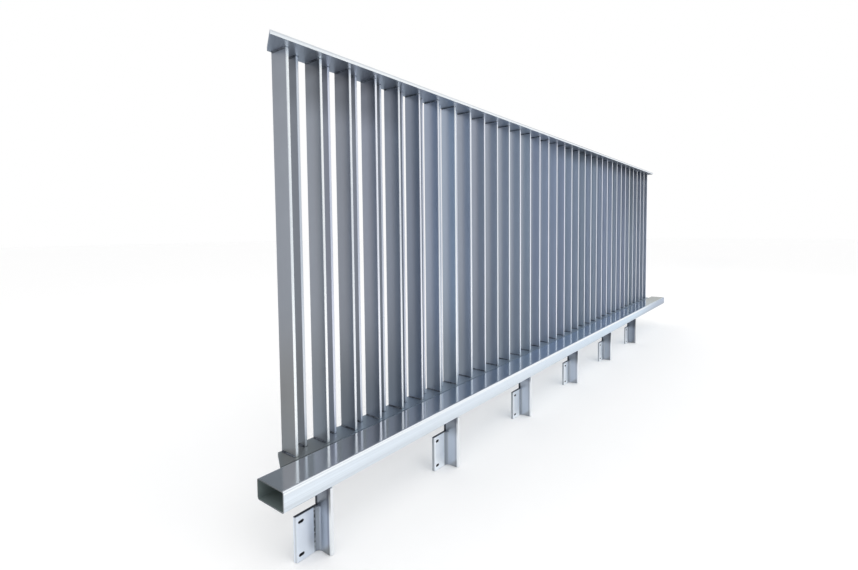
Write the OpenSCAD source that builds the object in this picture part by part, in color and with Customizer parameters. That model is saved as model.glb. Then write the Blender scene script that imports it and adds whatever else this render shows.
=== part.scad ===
// Stainless steel balustrade bay.
// Flat-bar balusters stand between two flats, beside a hollow rail on six notched angle brackets.
// X runs along the rail, Y points away from the side seen in the photograph, Z is up.
// The origin lies on the back face of the fourth bracket's flange, midway between its slots.

/* [Balusters] */
// Distance between the centres of two deep bars
bar_pitch = 100; // [85:1:130]
// Deep bars in each of the seven groups
bars_per_group = 5; // [4:1:7]
// Height of every bar between the two flats
bar_h = 1000; // [700:10:1300]
// Thickness of every bar
bar_t = 8; // [5:0.5:14]
// Depth of a deep bar, front edge to back edge
deep_d = 60; // [45:1:75]
// Depth of a shallow bar, which keeps to the back
shallow_d = 30; // [15:1:40]

/* [Flats] */
// Thickness of the top and bottom flats
flat_t = 10; // [6:0.5:16]
// Reach of the top flat in front of the deep bars
top_reach = 35; // [10:1:60]
// Angle of the end cuts from square
cut_angle = 30; // [0:1:33]

/* [Base rail] */
// Width of the hollow rail, front to back
rail_w = 100; // [80:1:150]
// Height of the hollow rail
rail_h = 50; // [35:1:80]
// Wall of the hollow rail
rail_wall = 3; // [2:0.5:5]
// Outer corner radius of the hollow rail
rail_corner = 6; // [5.5:0.5:10]
// Space between the rail's back face and the deep bars
rail_gap = 10; // [5:1:25]
// Length of rail past the flats at the near end
rail_near = 68; // [20:1:150]
// Length of rail past the flats at the far end
rail_far = 82; // [20:1:150]

/* [Brackets] */
// Distance between two brackets
bracket_pitch = 533; // [420:1:545]
// Distance from the first bracket's middle to the first bar
bar_offset = 19; // [0:1:60]
// Width of the flange, measured over the web
flange_w = 75; // [65:1:100]
// Height of the flange
flange_h = 110; // [105:1:150]
// Height of the web, from the foot of the flange to the rail
web_h = 165; // [155:1:220]
// Depth of the web, measured over the flange
web_d = 55; // [40:1:80]
// Thickness of web and flange
angle_t = 10; // [6:0.5:12]
// Radius in the inner corner
root_r = 12; // [3:0.5:14]
// Radius of the inner edges at the two free ends
toe_r = 5; // [1:0.5:5.5]
// Width of a slot
slot_w = 8; // [6:0.5:12]
// Length of a slot over its round ends
slot_l = 16; // [14:0.5:22]
// Height between the two slots of a bracket
slot_space = 80; // [60:1:85]
// Distance from the flange's free edge to a slot's middle
slot_edge = 15; // [13:0.5:20]

/* [Hidden] */
groups = 7;
bracket_count = 6;
datum_bracket = 4;
deep_count = groups * bars_per_group;
panel_len = deep_count * bar_pitch;
bracket_foot = -flange_h / 2;
rail_z = bracket_foot + web_h;
foot_z = rail_z + rail_h;
top_z = foot_z + bar_h;
rail_y = -web_d;
rail_back = rail_y + rail_w;
bar_y = rail_back + rail_gap;
back_y = bar_y + deep_d;
bar_x0 = (1 - datum_bracket) * bracket_pitch + bar_offset;
near_x = bar_x0 - bar_pitch / 2;
far_x = near_x + panel_len;
rail_x = near_x - rail_near;
rail_len = panel_len + rail_near + rail_far;
web_x = flange_w / 2 - angle_t;
slot_x = slot_edge - flange_w / 2;
cut_slope = tan(cut_angle);
over = 1;
steel = [0.72, 0.74, 0.77];
steel_dark = [0.52, 0.55, 0.60];
steel_bright = [0.85, 0.88, 0.92];

// Middle of a deep bar along the rail
function bar_x(i) = bar_x0 + i * bar_pitch;

// Where an angled end cut stands at a given depth
function cut_x(x, y) = x + (y - bar_y) * cut_slope;

// Rectangle with round corners, its lowest corner at the origin
module round_rect(w, h, r) {
    translate([r, 0])
        square([w - 2 * r, h]);
    translate([0, r])
        square([w, h - 2 * r]);
    for (x = [r, w - r], y = [r, h - r])
        translate([x, y])
            circle(r = r, $fn = 48);
}

// Flat with both ends cut at the same angle, between two depths
module cut_flat(y0, y1) {
    linear_extrude(flat_t)
        polygon([
            [cut_x(near_x, y0), y0],
            [cut_x(far_x, y0), y0],
            [cut_x(far_x, y1), y1],
            [cut_x(near_x, y1), y1]
        ]);
}

// Hollow rail with open ends
module base_rail() {
    color(steel_bright)
        translate([rail_x, rail_y, rail_z])
            rotate([90, 0, 90])
                difference() {
                    linear_extrude(rail_len)
                        round_rect(rail_w, rail_h, rail_corner);
                    translate([rail_wall, rail_wall, -over])
                        linear_extrude(rail_len + 2 * over)
                            round_rect(
                                rail_w - 2 * rail_wall,
                                rail_h - 2 * rail_wall,
                                rail_corner - rail_wall
                            );
                }
}

// Flat under the bars, welded to the rail's back face
module bottom_flat() {
    color(steel_dark)
        translate([0, 0, foot_z - flat_t])
            cut_flat(rail_back, back_y);
}

// Flat over the bars, reaching out in front of them
module top_flat() {
    color(steel)
        translate([0, 0, top_z])
            cut_flat(bar_y - top_reach, back_y);
}

// Waste outside a rounded edge, its corner at the origin
module toe_waste() {
    difference() {
        translate([-over, -over])
            square(toe_r + over);
        translate([toe_r, toe_r])
            circle(r = toe_r, $fn = 48);
    }
}

// Outline of the angle with its rounded inner corner and rounded inner edges, seen from above
module angle_outline() {
    difference() {
        union() {
            translate([web_x, -web_d])
                square([angle_t, web_d]);
            translate([-flange_w / 2, -angle_t])
                square([flange_w, angle_t]);
        }
        translate([web_x, -web_d])
            toe_waste();
        translate([-flange_w / 2, -angle_t])
            toe_waste();
    }
    difference() {
        translate([web_x - root_r, -angle_t - root_r])
            square([root_r, root_r]);
        translate([web_x - root_r, -angle_t - root_r])
            circle(r = root_r, $fn = 64);
    }
}

// Slot that lets the panel slide along the rail before its bolts are tight
module slot_outline() {
    run = slot_l - slot_w;
    square([run, slot_w], center = true);
    for (s = [-1, 1])
        translate([s * run / 2, 0])
            circle(d = slot_w, $fn = 48);
}

// Angle bracket with its flange notched below the rail and two slots
module bracket(k) {
    color(steel_bright)
        translate([(k - datum_bracket) * bracket_pitch, 0, 0])
            difference() {
                translate([0, 0, bracket_foot])
                    linear_extrude(web_h)
                        angle_outline();
                translate([-flange_w / 2 - over, -web_d - over, flange_h / 2])
                    cube([flange_w - angle_t + over, web_d + 2 * over, web_h]);
                for (s = [-1, 1])
                    translate([slot_x, over, s * slot_space / 2])
                        rotate([90, 0, 0])
                            linear_extrude(angle_t + 2 * over)
                                slot_outline();
            }
}

// One flat bar on end, its middle at x and its back edge flush with the flats
module bar(x, depth) {
    translate([x - bar_t / 2, back_y - depth, foot_z])
        cube([bar_t, depth, bar_h]);
}

// Deep bars of one group
module deep_bars(g) {
    color(steel)
        for (i = [0 : bars_per_group - 1])
            bar(bar_x((g - 1) * bars_per_group + i), deep_d);
}

// Shallow bars of one group, midway between the deep bars
module shallow_bars(g) {
    last = g == groups ? bars_per_group - 2 : bars_per_group - 1;
    color(steel_dark)
        for (i = [0 : last])
            bar(bar_x((g - 1) * bars_per_group + i + 0.5), shallow_d);
}

base_rail();
bottom_flat();
top_flat();
bracket(1);  // bracket_1
bracket(2);  // bracket_2
bracket(3);  // bracket_3
bracket(4);  // bracket_4
bracket(5);  // bracket_5
bracket(6);  // bracket_6
deep_bars(1);  // deep_bars_1
deep_bars(2);  // deep_bars_2
deep_bars(3);  // deep_bars_3
deep_bars(4);  // deep_bars_4
deep_bars(5);  // deep_bars_5
deep_bars(6);  // deep_bars_6
deep_bars(7);  // deep_bars_7
shallow_bars(1);  // shallow_bars_1
shallow_bars(2);  // shallow_bars_2
shallow_bars(3);  // shallow_bars_3
shallow_bars(4);  // shallow_bars_4
shallow_bars(5);  // shallow_bars_5
shallow_bars(6);  // shallow_bars_6
shallow_bars(7);  // shallow_bars_7
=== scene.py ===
# %% [markdown]
# # A stainless steel balustrade bay
# The solids of the balustrade already have their true sizes, so this lesson adds what a
# drawing leaves out: softened edges, weld beads, mill-finished steel, a floor, light and a camera.
# Everything is in metres. X runs along the rail, Y points to the wall side, Z is up.

# %% Load the solids and measure them
import math
from types import SimpleNamespace

import bmesh
import bpy
from mathutils import Matrix, Vector


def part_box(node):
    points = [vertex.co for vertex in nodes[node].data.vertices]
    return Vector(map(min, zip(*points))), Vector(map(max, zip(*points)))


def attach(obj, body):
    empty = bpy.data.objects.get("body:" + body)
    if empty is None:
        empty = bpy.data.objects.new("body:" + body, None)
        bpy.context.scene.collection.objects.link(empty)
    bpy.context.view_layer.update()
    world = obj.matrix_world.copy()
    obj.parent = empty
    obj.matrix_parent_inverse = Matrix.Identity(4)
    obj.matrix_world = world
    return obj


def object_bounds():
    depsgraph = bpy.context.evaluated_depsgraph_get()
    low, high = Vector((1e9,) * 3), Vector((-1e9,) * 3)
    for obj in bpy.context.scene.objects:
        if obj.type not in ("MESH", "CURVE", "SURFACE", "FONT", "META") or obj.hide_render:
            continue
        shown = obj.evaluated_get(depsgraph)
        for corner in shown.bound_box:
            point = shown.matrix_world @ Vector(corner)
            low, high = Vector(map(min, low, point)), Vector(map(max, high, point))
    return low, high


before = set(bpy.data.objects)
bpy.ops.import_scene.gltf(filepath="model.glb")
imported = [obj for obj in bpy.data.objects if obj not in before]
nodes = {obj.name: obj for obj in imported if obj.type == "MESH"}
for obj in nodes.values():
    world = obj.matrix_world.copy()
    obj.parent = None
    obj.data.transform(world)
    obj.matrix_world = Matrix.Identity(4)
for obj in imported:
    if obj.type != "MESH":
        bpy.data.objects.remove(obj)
cad_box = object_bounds()
MM = 0.001
print("CAD box", [[round(v, 3) for v in corner] for corner in cad_box])

# %% [markdown]
# The places of all the details follow from the solids, so they are read from the solids' boxes
# and not typed again. A group of bars holds several like bars, and its box gives their depth,
# their feet and their tops. Only what a box can't tell, such as a thickness or a count, is typed.

# %% Places taken from the solids
deep_lo, deep_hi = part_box("deep_bars_1")
shallow_lo, shallow_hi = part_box("shallow_bars_1")
rail_lo, rail_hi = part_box("base_rail")
flat_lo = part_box("bottom_flat")[0]
cap_lo, cap_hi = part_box("top_flat")
BARS_IN_GROUP = 5
BAR_GROUPS = 7
BAR_T = 8 * MM
bar_pitch = (deep_hi[0] - deep_lo[0] - BAR_T) / (BARS_IN_GROUP - 1)
first_bar = deep_lo[0] + BAR_T / 2
foot_z, head_z = deep_lo[2], deep_hi[2]
deep_places = [first_bar + i * bar_pitch for i in range(BARS_IN_GROUP * BAR_GROUPS)]
shallow_places = [x + bar_pitch / 2 for x in deep_places[:-1]]
bracket_names = sorted(n for n in nodes if n.startswith("bracket_"))
bar_names = sorted(n for n in nodes if "_bars_" in n)
print(len(deep_places), "deep bars and", len(shallow_places), "shallow bars, pitch", round(bar_pitch, 4))

# %% [markdown]
# Shader maths reads best as plain arithmetic. This small class wraps a socket, so that
# `1 - mask` or `lines * 0.2` adds the Math node by itself. `Bench.node` makes any other node.

# %% A socket that takes part in sums
class Wire:
    def __init__(self, bench, socket):
        self.bench = bench
        self.socket = socket

    def math(self, operation, other=0.0, turned=False):
        first, second = (other, self) if turned else (self, other)
        return self.bench.node("ShaderNodeMath", {"operation": operation}, {0: first, 1: second})

    def __add__(self, other):
        return self.math("ADD", other)

    def __radd__(self, other):
        return self.math("ADD", other, True)

    def __sub__(self, other):
        return self.math("SUBTRACT", other)

    def __rsub__(self, other):
        return self.math("SUBTRACT", other, True)

    def __mul__(self, other):
        return self.math("MULTIPLY", other)

    def __rmul__(self, other):
        return self.math("MULTIPLY", other, True)

    def above(self, edge):
        return self.math("GREATER_THAN", edge)


print("sockets can be added, subtracted and multiplied")

# %% A bench where the nodes of one material are put together
class Bench:
    def __init__(self, tree):
        self.tree = tree
        tree.nodes.clear()

    def node(self, kind, settings=None, inputs=None, out=0):
        made = self.tree.nodes.new(kind)
        for key, value in (settings or {}).items():
            setattr(made, key, value)
        for key, value in (inputs or {}).items():
            if isinstance(value, Wire):
                self.tree.links.new(value.socket, made.inputs[key])
            else:
                made.inputs[key].default_value = value
        return Wire(self, made.outputs[out]) if made.outputs else None

    def blend(self, share, first, second):
        return self.node("ShaderNodeMix", {"data_type": "RGBA"}, {0: share, 6: first, 7: second}, 2)

    def noise(self, place, scale, detail=3.0, rough=0.5):
        return self.node("ShaderNodeTexNoise", None,
                         {"Vector": place, "Scale": scale, "Detail": detail, "Roughness": rough})

    def stretch(self, place, scale):
        return self.node("ShaderNodeMapping", None, {"Vector": place, "Scale": scale})

    def ramp(self, value, low, high):
        return self.node("ShaderNodeMapRange", {"interpolation_type": "SMOOTHSTEP"},
                         {"Value": value, "From Min": low, "From Max": high})

    def split(self, place):
        made = self.tree.nodes.new("ShaderNodeSeparateXYZ")
        self.tree.links.new(place.socket, made.inputs[0])
        return [Wire(self, s) for s in made.outputs]


print("bench ready")

# %% [markdown]
# Mill-finished stainless steel is a metal with a soft mirror. Rolling leaves fine lines along
# the stock, and handling leaves faint clouds. Noise stretched along the stock gives the lines,
# and a broad noise gives the clouds. Both only nudge colour, gloss and height, because
# most of what the eye sees on steel is the room around it. That room is not known here, so part of
# its slow change of tone along the bay is put into the finish instead.

# %% A rolled steel to start from, with its lines along one axis
LINE_SCALE = {"X": (2.2, 620.0, 620.0), "Z": (620.0, 620.0, 2.2)}
CLOUD_SCALE, MARK_SCALE = 5.0, 33.0
CLOUD_TONE, LINE_TONE, MARK_TONE = 0.12, 0.08, 0.05
CLOUD_GLOSS, LINE_GLOSS = 0.08, 0.06
LINE_HEIGHT, LINE_STRENGTH = 0.3 * MM, 0.05
WHITE = (1.0, 1.0, 1.0, 1.0)


class Steel:
    def __init__(self, name, colour, gloss, lines_along):
        self.material = bpy.data.materials.new(name)
        self.material.use_nodes = True
        b = self.bench = Bench(self.material.node_tree)
        self.place = b.node("ShaderNodeTexCoord", out=3)
        self.x, self.y, self.z = b.split(self.place)
        self.lines = b.noise(b.stretch(self.place, LINE_SCALE[lines_along]), 1.0, 4.0, 0.6)
        self.marks = b.noise(self.place, MARK_SCALE, 3.0, 0.6)
        self.colour = (*colour, 1.0)
        clouds = b.noise(self.place, CLOUD_SCALE, 4.0, 0.55) - 0.5
        lines = self.lines - 0.5
        self.shade(1.0 + clouds * CLOUD_TONE + lines * LINE_TONE + (self.marks - 0.5) * MARK_TONE)
        self.rough = gloss + clouds * CLOUD_GLOSS + lines * LINE_GLOSS
        self.metal = 1.0

    def tint(self, colour):
        self.colour = self.bench.node("ShaderNodeMix", {"data_type": "RGBA", "blend_type": "MULTIPLY"},
                                      {0: 1.0, 6: self.colour, 7: colour}, 2)

    def stain(self, mask, colour):
        self.tint(self.bench.blend(mask, WHITE, (*colour, 1.0)))

    def shade(self, tone):
        self.tint(self.bench.node("ShaderNodeCombineXYZ", None, {0: tone, 1: tone, 2: tone}))

    def coat(self, mask, colour, rougher=0.0, duller=0.0):
        self.colour = self.bench.blend(mask, self.colour, (*colour, 1.0))
        if rougher:
            self.rough = self.rough + mask * rougher
        if duller:
            self.metal = self.metal * (1.0 - mask * duller)

    def along(self, tones, mask=1.0):
        for start, end, colour in tones:
            self.coat(mask * self.bench.ramp(self.x, start, end), colour)

    def band(self, value, middle, half, soft):
        away = (value - middle).math("ABSOLUTE")
        return 1.0 - self.bench.ramp(away, half, half + soft)

    def close(self):
        b = self.bench
        bump = b.node("ShaderNodeBump", None,
                      {"Strength": LINE_STRENGTH, "Distance": LINE_HEIGHT, "Height": self.lines})
        shader = b.node("ShaderNodeBsdfPrincipled", None,
                        {"Base Color": self.colour, "Metallic": self.metal,
                         "Roughness": self.rough, "Normal": bump})
        b.node("ShaderNodeOutputMaterial", None, {"Surface": shader})
        return self.material


print("steel recipe ready")

# %% [markdown]
# The rail is a bright tube. Its bluer tone away from its near end is painted reflection, and so is its
# lighter front face, which darkens along the bay and gets painted shade towards its foot. Long faint
# bands on the front face look like tracks of the tube rolls, and the round corner above has a painted
# highlight along its crest.
# A material for each face would need the faces picked by hand. Ramps on the depth and the height
# pick them out instead, with soft borders.

# %% Rail faces
RAIL_REFLECTION_TONES = [(rail_lo[0] + 0.38, rail_lo[0] + 0.82, (0.55, 0.63, 0.715)),
              (rail_lo[0] + 0.8, rail_lo[0] + 1.8, (0.63, 0.76, 0.89)),
              (1.55, 1.75, (0.55, 0.65, 0.73))]
RAIL_FRONT_PAINTED_LIGHT = (0.79, 0.86, 0.93)
RAIL_FRONT_REFLECTION_TONES = [(-1.0, 1.3, (0.56, 0.70, 0.84)), (0.9, 1.9, (0.19, 0.265, 0.40))]
ROLL_BANDS = (0.7, 0.0, 120.0)
BAND_SHADE, NEAR_BAND_SHADE = 0.03, 0.12
LOW_SHADE, FAR_LOW_SHADE = 0.07, 0.24
CREST_HIGHLIGHT, CREST_HIGHLIGHT_SHARE = (0.93, 0.965, 1.0), 0.85
RAIL_STEEL, RAIL_GLOSS = (0.71, 0.745, 0.785), 0.14


def rail_faces(steel):
    b = steel.bench
    # Painted reflection: bluer along the bay, and a lighter front face that darkens further along.
    steel.along(RAIL_REFLECTION_TONES)
    front = 1.0 - b.ramp(steel.y, rail_lo[1] + 0.5 * MM, rail_lo[1] + 3 * MM)
    steel.coat(front, RAIL_FRONT_PAINTED_LIGHT)
    steel.along(RAIL_FRONT_REFLECTION_TONES, front)
    bands = b.noise(b.stretch(steel.place, ROLL_BANDS), 1.0, 2.0, 0.5)
    near_end = 1.0 - b.ramp(steel.x, rail_lo[0] + 0.1, rail_lo[0] + 0.9)
    steel.shade(1.0 - front * b.ramp(bands, 0.42, 0.62) * (BAND_SHADE + near_end * NEAR_BAND_SHADE))
    # Painted shade towards the foot of the front face.
    low = 1.0 - b.ramp(steel.z, rail_lo[2] + 4 * MM, rail_lo[2] + 26 * MM)
    steel.shade(1.0 - front * low * (LOW_SHADE + b.ramp(steel.x, 0.6, 1.4) * FAR_LOW_SHADE))
    # A painted highlight along the crest of the round top corner.
    crest_highlight = 1.0 - b.ramp(steel.y, rail_lo[1] + 2.5 * MM, rail_lo[1] + 5 * MM)
    crest_highlight = crest_highlight * b.ramp(steel.z, rail_hi[2] - 11 * MM, rail_hi[2] - 6 * MM)
    steel.coat(crest_highlight * (1.0 - b.ramp(steel.x, 0.9, 1.9)) * CREST_HIGHLIGHT_SHARE, CREST_HIGHLIGHT)


rail_metal = Steel("rail steel", RAIL_STEEL, RAIL_GLOSS, "X")
rail_faces(rail_metal)
print("rail faces toned from", round(rail_lo[0], 3), "to", round(rail_hi[0], 3))

# %% [markdown]
# The bore of the rail is painted dark and matt, as painted shade inside the tube. The sawn ends are
# duller than the faces, and the groove where the bottom flat meets the rail gets painted shade. A sharp
# band across the depth and another up the height find the bore, so the tube stays one mesh.

# %% Rail ends, bore and groove
GROOVE_SHADE, SAWN_END, BORE_SHADE = (0.16, 0.18, 0.20), (0.30, 0.32, 0.33), (0.16, 0.20, 0.20)
GROOVE_SHARE = 0.4
BORE_INSET = 2.4 * MM
SHARP = 0.1 * MM


def rail_ends(steel):
    b = steel.bench
    # Painted shade in the groove.
    groove = b.ramp(steel.y, rail_hi[1] - 3 * MM, rail_hi[1] - 1.5 * MM)
    groove = groove * b.ramp(steel.z, rail_hi[2] - 8 * MM, rail_hi[2] - 6 * MM)
    steel.coat(groove * GROOVE_SHARE, GROOVE_SHADE, 0.3)
    middle = [(low + high) / 2 for low, high in zip(rail_lo, rail_hi)]
    half = [(high - low) / 2 for low, high in zip(rail_lo, rail_hi)]
    sawn = (steel.x - middle[0]).math("ABSOLUTE").above(half[0] - 0.3 * MM)
    steel.coat(sawn, SAWN_END, 0.25)
    # The bore gets a dark, matt colour as painted shade inside the tube.
    bore = steel.band(steel.y, middle[1], half[1] - BORE_INSET, SHARP)
    bore = bore * steel.band(steel.z, middle[2], half[2] - BORE_INSET, SHARP)
    steel.coat(bore * (1.0 - sawn), BORE_SHADE, 0.4, 0.9)


rail_ends(rail_metal)
rail_steel = rail_metal.close()
print("rail steel made of", len(rail_steel.node_tree.nodes), "shader nodes")

# %% [markdown]
# The bars have the soft satin skin of mill-finished flat stock. In the picture their front edges are
# brighter than their broad faces, and here that brightness is a painted highlight on the edges. The
# faces are also painted lighter along parts of the bay, as painted reflection, and the edges get a
# little painted shade near the fifth slim bar. Two materials on each bar could show the edges, but a
# ramp just behind the front edge tells the two apart with no face to pick.

# %% Bar faces and front edges
LIGHTER, FAR_LIGHTER = 1.27, 1.16
FAR_EDGE_HIGHLIGHT = (0.95, 0.97, 1.0)
EDGE_SHADE = 0.08


def times(colour, factor):
    return [c * factor for c in colour]


def bar_faces(steel, colour, edge_highlight, faces):
    b = steel.bench
    edges = 1.0 - faces
    # Painted reflection: the faces lighter along parts of the bay.
    steel.along([(deep_places[4], deep_places[14], times(colour, LIGHTER)),
                 (deep_places[24], deep_places[33], times(colour, FAR_LIGHTER))])
    # A painted highlight on the front edges, then painted shade near the fifth slim bar.
    steel.coat(edges, edge_highlight)
    steel.coat(edges * b.ramp(steel.x, deep_places[12], deep_places[22]), FAR_EDGE_HIGHLIGHT)
    steel.shade(1.0 - edges * steel.band(steel.x, shallow_places[4], 0.12, 0.1) * EDGE_SHADE)


print("bars lighten from", round(deep_places[4], 3), "to", round(deep_places[14], 3))

# %% [markdown]
# No two bars are quite alike. The number of the bar feeds a White Noise node, which shifts the tone of
# the whole bar a little, so sixty-nine bars need no list of tones. A few neighbours look lighter or
# darker in the picture, and that is painted reflection and shade: the seventh slim bar and its
# neighbours are painted lighter above their feet, and the bars from the third deep bar to the sixth are
# painted darker.

# %% The tone of each bar
PAINTED_LIGHTER, PAINTED_DARKER = (1.14, 1.19, 1.25), (0.78, 0.82, 0.88)
CASTS = (0.98, 0.975, 1.02, 1.0), (0.985, 1.0, 0.985, 1.0)
CAST_SEED = 0.37
LOT_SHIFT = 0.12
DARKER_END = 0.95


def bar_lots(steel, colour, faces):
    b = steel.bench
    # Painted reflection: the seventh slim bar and its neighbours lighter above their feet.
    pair = steel.band(steel.x, shallow_places[6], 0.07, 0.09) * faces
    steel.stain(pair * b.ramp(steel.z, foot_z - 0.05, foot_z + 0.3), PAINTED_LIGHTER)
    count = ((steel.x - first_bar) * (2 / bar_pitch) + 0.5).math("FLOOR")
    lot = b.node("ShaderNodeTexWhiteNoise", {"noise_dimensions": "1D"}, {"W": count})
    steel.shade(1.0 + (lot - 0.5) * LOT_SHIFT)
    cast = b.node("ShaderNodeTexWhiteNoise", {"noise_dimensions": "1D"}, {"W": count + CAST_SEED})
    steel.tint(b.blend(cast, *CASTS))
    # Painted reflection and shade: the third to the sixth bars darker.
    dark = b.ramp(steel.x, deep_places[2], deep_places[5])
    dark = dark - b.ramp(steel.x, deep_places[5], deep_places[6]) * DARKER_END
    dark = dark - b.ramp(steel.x, deep_places[9], deep_places[15]) * (1.0 - DARKER_END)
    steel.coat(dark * faces, [c * t for c, t in zip(colour, PAINTED_DARKER)])


# The light lot and the dark lot printed here are painted tones.
print("light lot at", round(shallow_places[6], 3), "and dark lot at", round(deep_places[5], 3))

# %% [markdown]
# In the picture the faces are darker towards the heads and the feet, most of all on the first and the
# last bars, and here that darkening is painted shade. The foot of the first bar is a little warmer.
# Close to a weld, heat dulls the skin in patches. Most of these are a ramp along the bay times a ramp up
# the bar, because ramps keep such a change soft.

# %% The ends of the bars
WARM = (1.07, 1.0, 0.93)
HEATED, HEATED_SHARE = (0.40, 0.42, 0.45), 0.5
UPPER_SHADE, TOP_SHADE, LOWER_SHADE = 0.34, 0.2, 0.24
LAST_SHADE, HEAD_SHADE = 0.18, 0.28


def bar_ends(steel, faces):
    b = steel.bench
    # Painted shade: the first bars darker at head and foot, the last bars higher up, and the heads
    # further along.
    first_few = b.ramp(steel.x, deep_places[0] - 0.05, deep_places[1])
    first_few = first_few * (1.0 - b.ramp(steel.x, deep_places[3], deep_places[5]))
    upper = b.ramp(steel.z, head_z - 0.16, head_z - 0.07) * UPPER_SHADE
    upper = upper + b.ramp(steel.z, head_z - 0.05, head_z - 0.012) * TOP_SHADE
    lower = (1.0 - b.ramp(steel.z, foot_z + 0.03, foot_z + 0.28)) * LOWER_SHADE
    lower = lower * b.ramp(steel.x, deep_places[1], deep_places[2])
    steel.shade(1.0 - first_few * faces * (upper + lower))
    last_few = b.ramp(steel.x, deep_places[22], deep_places[31]) * b.ramp(steel.z, head_z - 0.6, head_z)
    steel.shade(1.0 - last_few * faces * LAST_SHADE)
    heads = b.ramp(steel.z, head_z - 0.075, head_z - 0.015)
    heads = heads * b.ramp(steel.x, deep_places[13], deep_places[20])
    steel.shade(1.0 - heads * faces * HEAD_SHADE)
    warm = 1.0 - b.ramp(steel.x, deep_places[0], deep_places[1])
    warm = warm * (1.0 - b.ramp(steel.z, foot_z + 0.1, foot_z + 0.4))
    steel.stain(warm * faces, WARM)
    for height in (foot_z, head_z):
        near = steel.band(steel.z, height, 2 * MM, 12 * MM)
        steel.coat(near * b.ramp(steel.marks, 0.30, 0.75) * HEATED_SHARE, HEATED, 0.1)


print("bar ends at", round(foot_z, 3), "and", round(head_z, 3))

# %% Bar steel
BAR_GLOSS = 0.32


def bar_finish(name, colour, edge_highlight, front):
    steel = Steel(name, colour, BAR_GLOSS, "Z")
    faces = steel.bench.ramp(steel.y, front + 1.0 * MM, front + 2.0 * MM)
    bar_faces(steel, colour, edge_highlight, faces)
    bar_lots(steel, colour, faces)
    bar_ends(steel, faces)
    return steel.close()


bar_steel = bar_finish("bar steel", (0.55, 0.59, 0.645), (0.95, 0.975, 1.0), deep_lo[1])
slim_steel = bar_finish("slim bar steel", (0.42, 0.455, 0.505), (0.72, 0.76, 0.83), shallow_lo[1])
print("bar steel made of", len(bar_steel.node_tree.nodes), "shader nodes")

# %% [markdown]
# The two flats are duller than the rail. The front edge of the top flat is brighter, a painted
# highlight, with painted shade as a grey, patchy line along its upper corner and a darker arris further
# along the bay. The tone of the top flat along the bay is painted reflection. The near end of the bottom
# flat is greyer. Both start from the same recipe and differ only in their coats.

# %% Flat steels
TOP_STEEL, BOTTOM_STEEL, FLAT_GLOSS = (0.43, 0.475, 0.54), (0.445, 0.52, 0.59), 0.36
FLAT_EDGE_HIGHLIGHT, FAR_FLAT_EDGE_HIGHLIGHT = (0.90, 0.94, 0.97), (0.84, 0.89, 0.95)
UPPER_CORNER_SHADE, ARRIS_SHADE, ARRIS_SHARE = (0.66, 0.69, 0.72), (0.30, 0.32, 0.35), 0.9
UPPER_EVEN, UPPER_PATCHY = 0.4, 0.6
TOP_NEAR, TOP_LIGHTER, TOP_FAR = 1.16, 1.17, 0.62
BOTTOM_NEAR = (0.365, 0.385, 0.385)


def top_finish():
    steel = Steel("top flat steel", TOP_STEEL, FLAT_GLOSS, "X")
    b = steel.bench
    near = cap_lo[0]
    # Painted reflection: the tone of the top flat along the bay.
    steel.along([(near + 0.5, near + 1.0, times(TOP_STEEL, TOP_LIGHTER)),
                 (-0.4, 0.5, times(TOP_STEEL, TOP_FAR))])
    steel.coat(1.0 - b.ramp(steel.x, near + 0.25, near + 0.65), times(TOP_STEEL, TOP_NEAR))
    edge = 1.0 - b.ramp(steel.y, cap_lo[1] + 0.3 * MM, cap_lo[1] + 0.9 * MM)
    # A painted highlight on the front edge, with painted shade on its upper corner and arris.
    steel.coat(edge, FLAT_EDGE_HIGHLIGHT)
    steel.along([(-1.2, 0.8, FAR_FLAT_EDGE_HIGHLIGHT)], edge)
    upper = b.ramp(steel.z, cap_hi[2] - 5.5 * MM, cap_hi[2] - 3.5 * MM)
    steel.coat(edge * upper * (UPPER_EVEN + steel.marks * UPPER_PATCHY), UPPER_CORNER_SHADE)
    arris = b.ramp(steel.z, cap_hi[2] - 3.2 * MM, cap_hi[2] - 1.6 * MM)
    steel.coat(edge * arris * b.ramp(steel.x, -0.8, 0.4) * ARRIS_SHARE, ARRIS_SHADE)
    return steel.close()


def bottom_finish():
    steel = Steel("bottom flat steel", BOTTOM_STEEL, FLAT_GLOSS, "X")
    steel.coat(1.0 - steel.bench.ramp(steel.x, flat_lo[0] + 0.1, flat_lo[0] + 0.25), BOTTOM_NEAR)
    return steel.close()


top_steel = top_finish()
flat_steel = bottom_finish()
print("flat steels made")

# %% [markdown]
# The six brackets look like cuts of one hot-rolled angle, so one material serves them all. The WRAP
# operation folds the length of the rail into one bracket's width. A place across the bracket then
# picks out its web, its flange, its round root and its round free edges.

# %% Places on a bracket
bracket_boxes = [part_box(n) for n in bracket_names]
bracket_mids = [(lo[0] + hi[0]) / 2 for lo, hi in bracket_boxes]
bracket_pitch = (bracket_mids[-1] - bracket_mids[0]) / (len(bracket_mids) - 1)
bracket_lo, bracket_hi = bracket_boxes[0]
FLANGE_T, WEB_T, ROOT_R = 10 * MM, 10 * MM, 12 * MM
SLOT_X, SLOT_Z = -22.5 * MM, 40 * MM
FLANGE_H = 110 * MM
web_face = (bracket_hi[0] - bracket_lo[0]) / 2 - WEB_T
root_x = web_face - ROOT_R
flange_edge = bracket_lo[0] - bracket_mids[0]
BETWEEN = 0.1
BRACKET_STEEL, BRACKET_GLOSS = (0.72, 0.78, 0.87), 0.37


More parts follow.
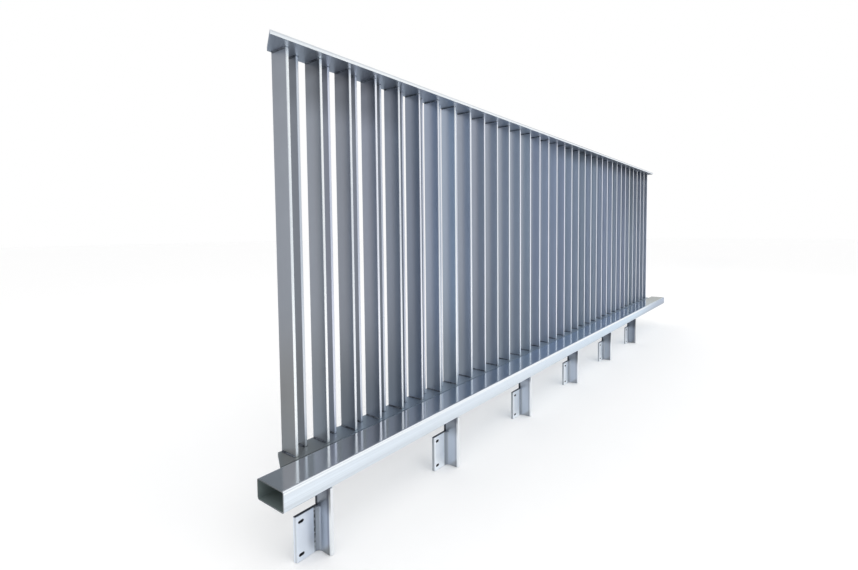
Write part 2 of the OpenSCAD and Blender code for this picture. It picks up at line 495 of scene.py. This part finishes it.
def places_on_bracket(steel):
    b = steel.bench
    half = bracket_pitch / 2
    across = b.node("ShaderNodeMath", {"operation": "WRAP"},
                    {0: steel.x - bracket_mids[0], 1: half, 2: -half})
    inner = b.ramp(across, root_x + 1 * MM, root_x + 3 * MM)
    inner = inner * (1.0 - b.ramp(across, web_face + 2 * MM, web_face + 3 * MM))
    inner = inner * (1.0 - b.ramp(steel.y, -1.0 * MM, -0.4 * MM))
    web_toe = 1.0 - b.ramp(steel.y, bracket_lo[1] + 4 * MM, bracket_lo[1] + 5 * MM)
    web_toe = web_toe * b.ramp(across, root_x, root_x + 1 * MM)

    def from_to(first, last):
        return b.ramp(steel.x, bracket_mids[first] + BETWEEN, bracket_mids[last] - BETWEEN)

    return SimpleNamespace(across=across, inner=inner, web_toe=web_toe, beyond=from_to(0, 1),
                           far_off=from_to(2, 3), far_webs=from_to(3, 5), last=from_to(4, 5))


bracket_metal = Steel("bracket steel", BRACKET_STEEL, BRACKET_GLOSS, "Z")
bracket_places = places_on_bracket(bracket_metal)
print(len(bracket_mids), "brackets", round(bracket_pitch, 3), "m apart")

# %% [markdown]
# The flange is pale and dull, partly as steel is after pickling and partly as painted light that lifts
# it, and it is dullest near its foot. The second and later brackets, and the last one again, get painted
# reflection tones. On the brackets further along the flange is greyer beside the root, a painted
# reflection of the web, and the first bracket gets painted shade there at mid-height. What isn't the
# inner face of the web counts as flange here, so the web's mask, turned round, serves.

# %% Flange tones
SECOND_ON, LAST_BRACKET, PICKLED_AND_LIT = (0.90, 0.95, 1.0), (0.82, 0.86, 0.92), (0.88, 0.94, 1.0)
WEB_REFLECTION_GREY, WEB_REFLECTION_SHARE = (0.47, 0.53, 0.60), 0.8
ROOT_SHADE = 0.15
PALE_EVEN, PALE_FAR, PALE_LOW = 0.25, 0.25, 0.5
PALE_FIRST, PALE_DULL = 0.5, 0.9


def flange_tones(steel, at):
    b = steel.bench
    flange = 1.0 - at.inner
    # Painted reflection tones for the second and later brackets and for the last one.
    steel.coat(at.beyond, SECOND_ON)
    steel.coat(at.last, LAST_BRACKET)
    # A pale, dull skin, partly pickled look and partly painted light, most near the foot.
    low_down = 1.0 - b.ramp(steel.z, -48 * MM, -8 * MM)
    pickled_and_lit = flange * (PALE_EVEN + at.far_off * PALE_FAR + low_down * PALE_LOW)
    pickled_and_lit = pickled_and_lit * (PALE_FIRST + at.beyond * (1.0 - PALE_FIRST))
    steel.coat(pickled_and_lit, PICKLED_AND_LIT, 0.0, PALE_DULL)
    # Painted reflection of the web beside the root, and painted shade at mid-height on the first
    # bracket.
    by_root = b.ramp(at.across, -9 * MM, 8 * MM) * flange
    by_root = by_root * (1.0 - b.ramp(steel.y, -9 * MM, -8 * MM))
    steel.coat(by_root * at.far_off * WEB_REFLECTION_SHARE, WEB_REFLECTION_GREY)
    mid_height = steel.band(steel.z, -5 * MM, 18 * MM, 30 * MM)
    steel.shade(1.0 - by_root * (1.0 - at.beyond) * mid_height * ROOT_SHADE)


flange_tones(bracket_metal, bracket_places)
print("flanges toned from", round(flange_edge, 4), "to", round(root_x, 4), "across")

# %% [markdown]
# The web is painted darker than the flange, painted shade on its inner face, and darkest on the last
# brackets. The round root between them is the dullest stretch, with painted shade in its corner. Coats
# laid one over another are easy to tune, because each one only changes what lies under its mask.

# %% Web and root tones
WEB_SHADE_TONE, FAR_WEB_SHADE_TONE, ROOT_CORNER_SHADE = (0.49, 0.54, 0.62), (0.19, 0.22, 0.27), (0.25, 0.285, 0.335)
WEB_SHARE = 0.9
FAR_WEB_SHARE, FAR_WEB_LESS = 0.95, 0.35
ROOT_SHARE, ROOT_LESS = 0.95, 0.5


def web_tones(steel, at):
    b = steel.bench
    # Painted shade on the web, darkest on the last brackets, and in the root corner.
    steel.coat(at.inner * WEB_SHARE, WEB_SHADE_TONE)
    towards_root = b.ramp(steel.y, -46 * MM, -26 * MM)
    steel.coat(at.inner * at.far_webs * (FAR_WEB_SHARE - towards_root * FAR_WEB_LESS), FAR_WEB_SHADE_TONE)
    fillet = at.inner * (1.0 - b.ramp(at.across, web_face - 3 * MM, web_face - 0.1 * MM))
    steel.coat(fillet * (ROOT_SHARE - at.far_off * ROOT_LESS), ROOT_CORNER_SHADE, 0.2, 0.85)


web_tones(bracket_metal, bracket_places)
print("webs toned, inner face at", round(web_face, 4))

# %% [markdown]
# The free edges of a rolled angle are round. The edge of the web gets a painted highlight, dimmer on the
# last bracket, with a dark lip of painted shade behind it, and the web gets painted shade towards the
# outer corner of its foot. The end face and the toe of the flange are painted darker. Masks a few
# millimetres wide draw these, so the mesh needs no cuts along its edges.

# %% Free edges
END_FACE, FLANGE_TOE, WEB_TOE_HIGHLIGHT = (0.22, 0.24, 0.27), (0.40, 0.43, 0.47), (0.82, 0.85, 0.88)
LIP_SHADE, CORNER_SHADE = (0.26, 0.27, 0.34), (0.24, 0.25, 0.25)
END_FACE_SHARE, FLANGE_TOE_SHARE = 0.8, 0.5
LAST_TOE_SHADE = 0.4
LIP_SHARE, LIP_LESS = 0.7, 0.3
CORNER_SHARE, CORNER_LESS = 0.8, 0.2
CORNER_SLOPE = 0.8


def free_edges(steel, at):
    b = steel.bench
    # The end face and the toe of the flange are painted darker.
    end_face = 1.0 - b.ramp(at.across, flange_edge + 0.4 * MM, flange_edge + 0.9 * MM)
    steel.coat(end_face * at.beyond * END_FACE_SHARE, END_FACE)
    flange_toe = 1.0 - b.ramp(at.across, flange_edge + 1.0 * MM, flange_edge + 3.0 * MM)
    flange_toe = flange_toe * (1.0 - b.ramp(steel.y, -5 * MM, -4 * MM))
    steel.coat(flange_toe * FLANGE_TOE_SHARE, FLANGE_TOE)
    # A painted highlight on the edge of the web, dimmer on the last bracket, and painted shade in the
    # lip and the corner.
    steel.coat(at.web_toe, WEB_TOE_HIGHLIGHT)
    steel.shade(1.0 - at.web_toe * at.last * LAST_TOE_SHADE)
    lip = steel.band(steel.y, bracket_lo[1] + 8.5 * MM, 1.5 * MM, 2.5 * MM) * at.inner
    steel.coat(lip * (LIP_SHARE - at.beyond * LIP_LESS), LIP_SHADE)
    corner = 1.0 - b.ramp(steel.z + steel.y * CORNER_SLOPE, -80 * MM, -62 * MM)
    corner = at.inner * (1.0 - at.web_toe) * corner
    steel.coat(corner * (CORNER_SHARE - at.beyond * CORNER_LESS), CORNER_SHADE)


free_edges(bracket_metal, bracket_places)
print("free edges toned, web edge at depth", round(bracket_lo[1], 3))

# %% [markdown]
# Close under the rail the web is darker in the picture. The light here gives only part of that shade, so
# ramps up the web add the rest as painted shade. A dark band along the top is both painted shadow of the
# rail and the heat tint that a weld leaves there, and the outer part of the web gets painted shade
# towards the top.

# %% Web under the rail
HEAT_TINT_AND_SHADOW, HEAT_AND_SHADOW_SHARE = (0.13, 0.14, 0.18), 0.6
UNDER_SHADE, SECOND_LESS = 0.42, 0.12
OUTER_SHADE, FAR_OUTER_SHADE = 0.3, 0.35


def under_rail(steel, at):
    b = steel.bench
    # Painted shade under the rail.
    under = at.inner * b.ramp(steel.z, 36 * MM, 72 * MM)
    second = steel.band(steel.x, bracket_mids[1], 0.1, 0.05)
    third = steel.band(steel.x, bracket_mids[2], 0.1, 0.05)
    steel.shade(1.0 - under * (UNDER_SHADE - third * UNDER_SHADE - second * SECOND_LESS))
    # Painted shadow of the rail along the top, also a weld's heat tint, and painted shade on the outer
    # part.
    heat_and_shadow = at.inner * b.ramp(steel.z, 84 * MM, 102 * MM)
    steel.coat(heat_and_shadow * HEAT_AND_SHADOW_SHARE, HEAT_TINT_AND_SHADOW, 0.1)
    outer = at.inner * (1.0 - b.ramp(steel.y, -52 * MM, -36 * MM)) * b.ramp(steel.z, 10 * MM, 100 * MM)
    steel.shade(1.0 - outer * (OUTER_SHADE - at.beyond * OUTER_SHADE + at.far_off * FAR_OUTER_SHADE))


under_rail(bracket_metal, bracket_places)
print("webs darkened below", round(bracket_hi[2], 3))

# %% [markdown]
# The walls of the slots are painted nearly black, painted shade that makes the slots read as dark holes,
# and the cut faces of the notch get painted shade too. A broken dark line is drawn at the edge of the
# root. A fine and a broad noise together break the line up, so that it doesn't repeat from bracket to
# bracket.

# %% Slots, notch and root line
ROOT_LINE_DARK, NOTCH_SHADE, SAWN_WEB_SHADE = (0.07, 0.08, 0.09), (0.12, 0.125, 0.135), (0.08, 0.09, 0.11)
SLOT_SHADE = (0.02, 0.022, 0.026)
FINE_SCALE, BROAD_SCALE = 170.0, 9.0
ROOT_LINE_EVEN, ROOT_LINE_LESS = 0.35, 0.6
SLOT_HALF_L, SLOT_HALF_H, SLOT_SOFT = 8.8 * MM, 4.8 * MM, 0.2 * MM


def bracket_marks(steel, at):
    b = steel.bench
    root = steel.band(at.across, root_x + 1 * MM, 1.4 * MM, 2.2 * MM)
    root = root * steel.band(steel.y, -FLANGE_T, 1.5 * MM, 1 * MM)
    fine, broad = b.noise(steel.place, FINE_SCALE, 3.0, 0.6), b.noise(steel.place, BROAD_SCALE, 1.0)
    speckle = b.ramp(fine * 0.6 + broad * 0.5, 0.40, 0.62)
    root = root * (ROOT_LINE_EVEN + speckle * (1.0 - ROOT_LINE_EVEN))
    steel.coat(root * (1.0 - at.beyond * ROOT_LINE_LESS), ROOT_LINE_DARK, 0.3)
    # Painted shade on the cut faces of the notch.
    notch = steel.band(steel.z, bracket_lo[2] + FLANGE_H, 0.5 * MM, 0.2 * MM)
    notch = notch * b.ramp(steel.y, -7.5 * MM, -6.5 * MM)
    steel.coat(notch * (1.0 - b.ramp(at.across, web_face - 1.5 * MM, web_face - 0.5 * MM)), NOTCH_SHADE, 0.3)
    sawn = b.ramp(steel.z, 54 * MM, 55.5 * MM) * b.ramp(steel.y, -9 * MM, -8 * MM)
    steel.coat(sawn * (1.0 - b.ramp(at.across, web_face + 0.5 * MM, web_face + 1.5 * MM)), SAWN_WEB_SHADE, 0.2)
    # Painted shade in the slots, nearly black.
    slot = steel.band(at.across, SLOT_X, SLOT_HALF_L, SLOT_SOFT)
    slot = slot * steel.band(steel.z.math("ABSOLUTE"), SLOT_Z, SLOT_HALF_H, SLOT_SOFT)
    slot = slot * steel.band(steel.y, -FLANGE_T / 2, FLANGE_T / 2 - 0.7 * MM, 0.3 * MM)
    steel.coat(slot, SLOT_SHADE, 0.4, 0.8)


bracket_marks(bracket_metal, bracket_places)
bracket_steel = bracket_metal.close()
print("bracket steel made of", len(bracket_steel.node_tree.nodes), "shader nodes")

# %% [markdown]
# A weld bead is rougher and duller than the plate beside it, with darker patches where the heat
# coloured it. The beads are pieces of their own, so they get a finish of their own, with one noise
# for the grain and a broader one for the patches.

# %% Weld metal
WELD_DARK, WELD_LIGHT = (0.08, 0.09, 0.11, 1.0), (0.21, 0.235, 0.27, 1.0)
GRAIN_SCALE, PATCH_SCALE = 240.0, 55.0
GRAIN_HEIGHT, GRAIN_STRENGTH = 0.5 * MM, 0.35
WELD_GLOSS, GRAIN_GLOSS = 0.30, 0.2


def weld_metal(name):
    material = bpy.data.materials.new(name)
    material.use_nodes = True
    b = Bench(material.node_tree)
    place = b.node("ShaderNodeTexCoord", out=3)
    grain = b.noise(place, GRAIN_SCALE, 4.0, 0.6)
    patch = b.noise(place, PATCH_SCALE, 3.0, 0.5)
    base = b.blend(b.ramp(patch, 0.35, 0.65), WELD_DARK, WELD_LIGHT)
    bump = b.node("ShaderNodeBump", None,
                  {"Strength": GRAIN_STRENGTH, "Distance": GRAIN_HEIGHT, "Height": grain})
    shader = b.node("ShaderNodeBsdfPrincipled", None,
                    {"Base Color": base, "Metallic": 1.0,
                     "Roughness": WELD_GLOSS + grain * GRAIN_GLOSS, "Normal": bump})
    b.node("ShaderNodeOutputMaterial", None, {"Surface": shader})
    return material


bar_weld = weld_metal("bar weld")
print("weld metal made")

# %% [markdown]
# Each solid keeps its shape and gets its steel. Rolled flats never have razor edges, so a Weld
# modifier joins the loose triangles and a Bevel modifier turns the edges by a millimetre or so.
# The rail already has round corners, and the edges of the bottom flat hardly show, so these two
# get only steel.

# %% Dress the solids
TOP_EDGE, BAR_EDGE, BRACKET_EDGE = 1.0 * MM, 1.6 * MM, 0.6 * MM
JOIN_WITHIN = 0.01 * MM
SHARP_CORNER = math.radians(40)


def dress(name, material, edge=None):
    piece = nodes[name]
    piece.data.materials.clear()
    piece.data.materials.append(material)
    if edge:
        join = piece.modifiers.new("join", "WELD")
        join.merge_threshold = JOIN_WITHIN
        round_off = piece.modifiers.new("edges", "BEVEL")
        round_off.width = edge
        round_off.segments = 3
        round_off.limit_method = "ANGLE"
        round_off.angle_limit = SHARP_CORNER
        round_off.harden_normals = True


dress("base_rail", rail_steel)
dress("top_flat", top_steel, TOP_EDGE)
dress("bottom_flat", flat_steel)
for name in bar_names:
    dress(name, slim_steel if name.startswith("shallow") else bar_steel, BAR_EDGE)
for name in bracket_names:
    dress(name, bracket_steel, BRACKET_EDGE)
print("dressed", len(nodes), "solids")

# %% [markdown]
# A fillet weld fills the corner between two plates. Its outline is a flat arc from one plate to
# the other, and its surface has ripples where the welder paused. One vertex is spun into the arc,
# the arc is closed through the corner, and the loop is extruded along the joint while it swells
# and shrinks. Each bead is a small closed solid that can be copied to every joint.

# %% One weld bead along +Y, in the corner between a floor and a wall
SUNK = 0.2 * MM
ARC_STEPS = 3
FLATNESS = 0.7
RIPPLE = (0.80, 1.0)
END_SIZE = 0.55


def bead(leg, length, rings):
    bm = bmesh.new()
    rise = FLATNESS * leg
    toe = bm.verts.new((-leg, 0, 0))
    turn = math.pi / 2 - 2 * math.atan2(rise, leg + rise)
    bmesh.ops.spin(bm, geom=[toe], cent=(rise, 0, -rise), axis=(0, 1, 0), angle=turn, steps=ARC_STEPS)
    arc = sorted(bm.verts, key=lambda v: v.co.x)
    heel = bm.verts.new((SUNK, 0, -SUNK))
    bm.edges.new((arc[0], heel))
    bm.edges.new((arc[-1], heel))
    start = bm.edges[:]
    edges, size = start, 1.0
    for ring in range(1, rings + 1):
        wanted = RIPPLE[ring % 2] if ring < rings else END_SIZE
        grown = bmesh.ops.extrude_edge_only(bm, edges=edges)["geom"]
        verts = [g for g in grown if isinstance(g, bmesh.types.BMVert)]
        edges = [g for g in grown if isinstance(g, bmesh.types.BMEdge)]
        bmesh.ops.translate(bm, vec=(0, length / rings, 0), verts=verts)
        bmesh.ops.scale(bm, vec=(wanted / size, 1, wanted / size), verts=verts)
        size = wanted
    first = list({v for e in start for v in e.verts})
    bmesh.ops.scale(bm, vec=(END_SIZE, 1, END_SIZE), verts=first)
    bmesh.ops.contextual_create(bm, geom=start)
    bmesh.ops.contextual_create(bm, geom=edges)
    bmesh.ops.recalc_face_normals(bm, faces=bm.faces)
    return bm


print("bead outline has an arc of", ARC_STEPS, "steps")

# %% Copy a bead to many places as one piece
def lay_beads(name, bm, places):
    pattern = bm.verts[:] + bm.edges[:] + bm.faces[:]
    for place in places:
        copied = bmesh.ops.duplicate(bm, geom=pattern)["geom"]
        verts = [g for g in copied if isinstance(g, bmesh.types.BMVert)]
        bmesh.ops.transform(bm, matrix=place, verts=verts)
    first = [g for g in pattern if isinstance(g, bmesh.types.BMVert)]
    bmesh.ops.delete(bm, geom=first, context="VERTS")
    bmesh.ops.recalc_face_normals(bm, faces=bm.faces)
    mesh = bpy.data.meshes.new(name)
    bm.to_mesh(mesh)
    bm.free()
    mesh.shade_smooth()
    mesh.materials.append(bar_weld)
    piece = bpy.data.objects.new(name, mesh)
    bpy.context.collection.objects.link(piece)
    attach(piece, "root")
    print(name, len(places), "beads,", len(mesh.polygons), "faces")


print("beads can be laid")

# %% [markdown]
# Every bar is welded to both flats along its two sides. The same bead serves all four corners
# of a bar: it is mirrored across the bar for the other side, and upside down for the head.

# %% Welds at the feet and heads of the bars
BAR_LEG = 3.8 * MM
END_GAP = 2.0 * MM
DEEP_RINGS, SHALLOW_RINGS = 12, 8


def bar_corners(places, front):
    spots = []
    for x in places:
        for side in (-1, 1):
            for height, up in ((foot_z, 1), (head_z, -1)):
                spot = Matrix.Translation((x + side * BAR_T / 2, front + END_GAP, height))
                spots.append(spot @ Matrix.Diagonal((-side, 1, up, 1)))
    return spots


deep_run = deep_hi[1] - deep_lo[1] - 2 * END_GAP
shallow_run = shallow_hi[1] - shallow_lo[1] - 2 * END_GAP
lay_beads("deep_bar_welds", bead(BAR_LEG, deep_run, DEEP_RINGS),
          bar_corners(deep_places, deep_lo[1]))
lay_beads("shallow_bar_welds", bead(BAR_LEG, shallow_run, SHALLOW_RINGS),
          bar_corners(shallow_places, shallow_lo[1]))

# %% [markdown]
# The bottom flat is taken to be held to the rail by short stitches underneath, which the picture
# doesn't show. Each bracket is welded to the rail on both sides of its web. The same helpers lay
# these beads, with the stitches turned to run along the rail.

# %% Welds of the rail and the brackets
STITCH, STITCH_LEG, STITCH_RINGS = 40 * MM, 4.5 * MM, 10
BARS_PER_STITCH = 3
along_x = Matrix.Rotation(math.radians(-90), 4, "Z")
upside_down = Matrix.Diagonal((1, 1, -1, 1))
stitch_spots = []
for x in shallow_places[::BARS_PER_STITCH]:
    spot = Matrix.Translation((x - STITCH / 2, rail_hi[1], flat_lo[2]))
    stitch_spots.append(spot @ along_x @ upside_down)
lay_beads("flat_stitches", bead(STITCH_LEG, STITCH, STITCH_RINGS), stitch_spots)

RAIL_ROUND = 7 * MM
WEB_LEG, WEB_RINGS = 5 * MM, 14
web_spots = []
for lo, hi in bracket_boxes:
    for x, side in ((hi[0] - WEB_T, -1), (hi[0], 1)):
        spot = Matrix.Translation((x, lo[1] + RAIL_ROUND, hi[2]))
        web_spots.append(spot @ Matrix.Diagonal((-side, 1, -1, 1)))
web_run = bracket_hi[1] - bracket_lo[1] - RAIL_ROUND - END_GAP
lay_beads("web_welds", bead(WEB_LEG, web_run, WEB_RINGS), web_spots)

# %% [markdown]
# The stage is a pale floor under the brackets and an even white surround. White seen directly and
# white seen in the steel are the same white, so the world is one colour for every ray.

# %% Floor and surround
def sheet_piece(name, corners, material):
    bm = bmesh.new()
    verts = [bm.verts.new(c) for c in corners]
    bmesh.ops.contextual_create(bm, geom=verts)
    mesh = bpy.data.meshes.new(name)
    bm.to_mesh(mesh)
    bm.free()
    mesh.materials.append(material)
    piece = bpy.data.objects.new(name, mesh)
    bpy.context.collection.objects.link(piece)
    return piece


def level_sheet(x0, x1, y0, y1, z):
    return [(x0, y0, z), (x1, y0, z), (x1, y1, z), (x0, y1, z)]


FLOOR_Z = cad_box[0][2] - 1 * MM
FLOOR = 40.0
FLOOR_WHITES = (0.98, 0.98, 0.98, 1.0), (0.99, 0.99, 0.99, 1.0)
floor_paint = bpy.data.materials.new("floor paint")
floor_paint.use_nodes = True
b = Bench(floor_paint.node_tree)
speck = b.noise(b.node("ShaderNodeTexCoord", out=3), 3.0, 2.0)
pale = b.blend(speck, *FLOOR_WHITES)
paint = b.node("ShaderNodeBsdfPrincipled", None,
               {"Base Color": pale, "Roughness": 0.9, "Specular IOR Level": 0.1})
b.node("ShaderNodeOutputMaterial", None, {"Surface": paint})
sheet_piece("floor", level_sheet(-FLOOR, FLOOR, -FLOOR, FLOOR, FLOOR_Z), floor_paint)

world = bpy.data.worlds.new("surround")
bpy.context.scene.world = world
world.use_nodes = True
b = Bench(world.node_tree)
b.node("ShaderNodeOutputWorld", None,
       {"Surface": b.node("ShaderNodeBackground", None, {"Color": WHITE, "Strength": 1.0})})
print("floor at", round(FLOOR_Z, 3), "under a white surround")

# %% [markdown]
# Steel in a white room looks white. A photographer puts grey cards around it, out of the picture,
# so that it has something to mirror. These cards do that: only the steel sees them, they cast no
# shadow and light nothing. Most of them change tone along the bay at a few stops.

# %% A card that only mirrors see
def card(name, corners, stops):
    material = bpy.data.materials.new(name)
    material.use_nodes = True
    b = Bench(material.node_tree)
    along = b.split(b.node("ShaderNodeTexCoord", out=3))[0]
    tone = (*stops[0][1], 1.0)
    for (before, _), (after, colour) in zip(stops, stops[1:]):
        tone = b.blend(b.ramp(along, before, after), tone, (*colour, 1.0))
    glow = b.node("ShaderNodeEmission", None, {"Color": tone, "Strength": 1.0})
    b.node("ShaderNodeOutputMaterial", None, {"Surface": glow})
    piece = sheet_piece(name, corners, material)
    piece.visible_camera = False
    piece.visible_diffuse = False
    piece.visible_shadow = False


def upright_sheet(x0, x1, y, z0, z1):
    return [(x0, y, z0), (x1, y, z0), (x1, y, z1), (x0, y, z1)]


print("cards can be set")

# %% Cards behind and below
CARD_FOOT, CARD_TOP = FLOOR_Z + 4 * MM, 3.2
LEFT_END, RIGHT_END = -9.0, 12.0
BACK_Y, GROUND_Y = 1.7, 0.2
WALL_LILAC, WALL_GREY, WALL_DARK = (0.66, 0.70, 0.78), (0.49, 0.48, 0.50), (0.38, 0.41, 0.45)
WALL_BLUE, WALL_SAND = (0.57, 0.635, 0.72), (0.60, 0.585, 0.55)
card("back_card", upright_sheet(LEFT_END, RIGHT_END, BACK_Y, CARD_FOOT, CARD_TOP),
     [(-3.7, WALL_LILAC), (-3.1, WALL_GREY), (-2.4, WALL_GREY), (-1.4, WALL_DARK),
      (0.1, WALL_DARK), (0.9, WALL_BLUE), (5.5, WALL_BLUE), (7.5, WALL_SAND)])
card("ground_card", level_sheet(LEFT_END, RIGHT_END, GROUND_Y, BACK_Y, CARD_FOOT),
     [(-2.3, (0.37, 0.365, 0.36)), (-1.9, (0.32, 0.35, 0.385)), (2.5, (0.31, 0.34, 0.38))])
GAP_LEFT, GAP_RIGHT = -1.0, 1.5
GAP_Y = BACK_Y - 0.05
GAP_FOOT, GAP_TOP = 0.98, 1.42
card("gap_card", upright_sheet(GAP_LEFT, GAP_RIGHT, GAP_Y, GAP_FOOT, GAP_TOP),
     [(0.6, (0.20, 0.22, 0.24)), (GAP_RIGHT, (0.45, 0.50, 0.57))])
print("cards set behind and below")

# %% Cards in front and at the near end
FRONT_Y, FRONT_END = -3.2, 0.4
LOW_END, LOW_TOP = 3.6, 1.3
FRONT_GREY, FRONT_PALE = (0.55, 0.58, 0.62), (0.74, 0.77, 0.81)
card("front_card", upright_sheet(LEFT_END, FRONT_END, FRONT_Y, CARD_FOOT, CARD_TOP),
     [(-2.0, FRONT_GREY), (FRONT_END, FRONT_PALE)])
card("low_card", upright_sheet(FRONT_END, LOW_END, FRONT_Y, CARD_FOOT, LOW_TOP),
     [(2.2, FRONT_PALE), (LOW_END, (0.92, 0.94, 0.97))])
card("end_card", [(LEFT_END, FRONT_Y, CARD_FOOT), (LEFT_END, BACK_Y, CARD_FOOT),
                  (LEFT_END, BACK_Y, CARD_TOP), (LEFT_END, FRONT_Y, CARD_TOP)], [(LEFT_END, FRONT_GREY)])
print("cards set in front and at the near end")

# %% [markdown]
# Two large soft lamps stand in front, one high and one low at the right. They lift the floor and
# put a faint shadow under the brackets. A small lamp or a sun would draw a hard one. The steel
# doesn't mirror the lamps, so they leave no hot spots on it.

# %% Lamps
LAMPS = [("high lamp", (-1.5, -3.5, 4.5), (0, 0, 0.3), 4.0, 60),
         ("side lamp", (5.5, -4.0, 2.0), (0, 0, 0.6), 3.0, 35)]
for name, place, target, size, power in LAMPS:
    data = bpy.data.lights.new(name, "AREA")
    data.shape = "SQUARE"
    data.size = size
    data.energy = power
    lamp = bpy.data.objects.new(name, data)
    aim = Vector(target) - Vector(place)
    lamp.matrix_world = Matrix.Translation(place) @ aim.to_track_quat("-Z", "Y").to_matrix().to_4x4()
    lamp.visible_glossy = False
    bpy.context.collection.objects.link(lamp)
print(len(LAMPS), "lamps set")

# %% [markdown]
# The camera was found by fitting the known solids to their picture: it stands close to the near
# end, a little above mid-height, with a wide lens. The small shift puts the optical axis where the
# picture has it.

# %% Camera
SENSOR = 36.0
IMAGE_W, IMAGE_H = 858, 570
focal_px, axis_row = 473.49, 256.42
yaw, pitch, roll = 0.9074, -0.0520, 0.0100
eye = Vector((-2.2831, -0.9169, 0.7168))
ahead = Vector((math.sin(yaw) * math.cos(pitch), math.cos(yaw) * math.cos(pitch), math.sin(pitch)))
level = Vector((math.cos(yaw), -math.sin(yaw), 0.0))
below = ahead.cross(level)
right = math.cos(roll) * level + math.sin(roll) * below
down = -math.sin(roll) * level + math.cos(roll) * below
camera_data = bpy.data.cameras.new("camera")
camera_data.sensor_width = SENSOR
camera_data.lens = focal_px / IMAGE_W * SENSOR
camera_data.shift_y = (axis_row - IMAGE_H / 2) / IMAGE_W
camera_data.clip_start = 0.01
camera = bpy.data.objects.new("camera", camera_data)
turn = Matrix((right, -down, -ahead)).transposed().to_4x4()
camera.matrix_world = Matrix.Translation(eye) @ turn
bpy.context.collection.objects.link(camera)
bpy.context.scene.camera = camera
bpy.context.scene.view_settings.view_transform = "Standard"
print("camera lens", round(camera_data.lens, 2), "mm")
